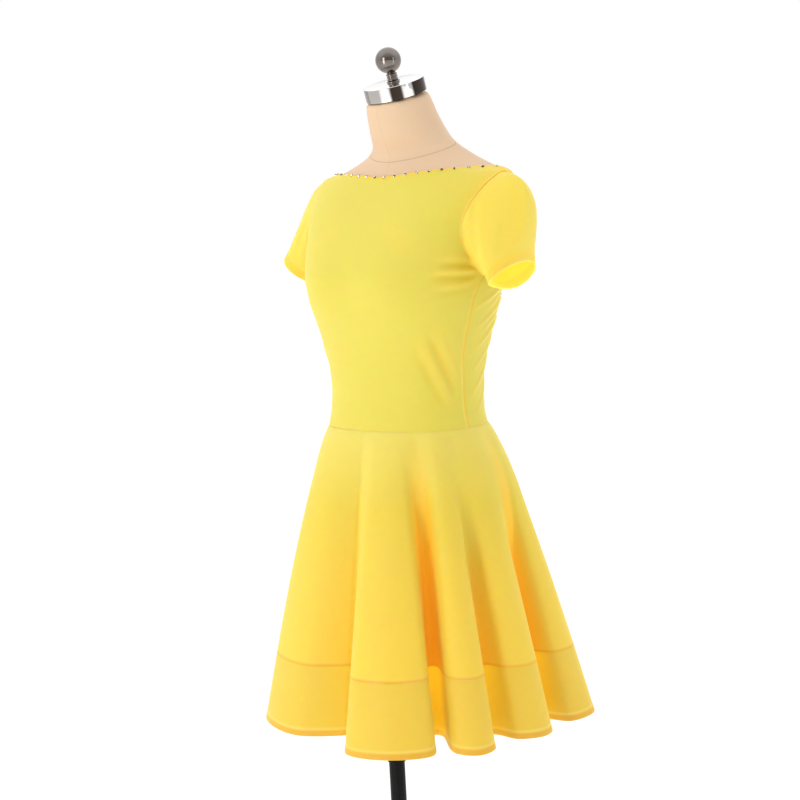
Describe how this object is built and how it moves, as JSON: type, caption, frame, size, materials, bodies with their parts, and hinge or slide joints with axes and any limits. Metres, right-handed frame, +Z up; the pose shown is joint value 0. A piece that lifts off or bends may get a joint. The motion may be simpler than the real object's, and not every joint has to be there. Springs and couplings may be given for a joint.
{
  "type": "figure skating dress on a limbless dress form with stand",
  "caption": "Short-sleeved skating dress with a boat neck, low gathered back and flared skirt, on a limbless dress form with a round-based stand",
  "frame": {"origin": "middle of the base's flat underside, on the pole's axis", "axes": "+Z up along the pole, -Y the front of the dress, +X the wearer's left"},
  "size_m": [0.4862, 0.517, 1.436],
  "materials": {
    "jersey": "knitted stretch jersey with a slight sheen",
    "form_cloth": "fine knit cover, matt",
    "polished_metal": "polished",
    "stand_metal": "satin powder coat"
  },
  "bodies": {
    "root": {"bodice_front": "jersey", "bodice_back": "jersey", "sleeve_left": "jersey", "sleeve_right": "jersey", "skirt_front": "jersey", "skirt_back": "jersey", "hem_band_front": "jersey", "hem_band_back": "jersey", "form_torso": "form_cloth", "neck_cap": "polished_metal", "finial": "polished_metal", "upper_tube": "stand_metal", "pole": "stand_metal", "base": "stand_metal"}
  },
  "joints": []
}
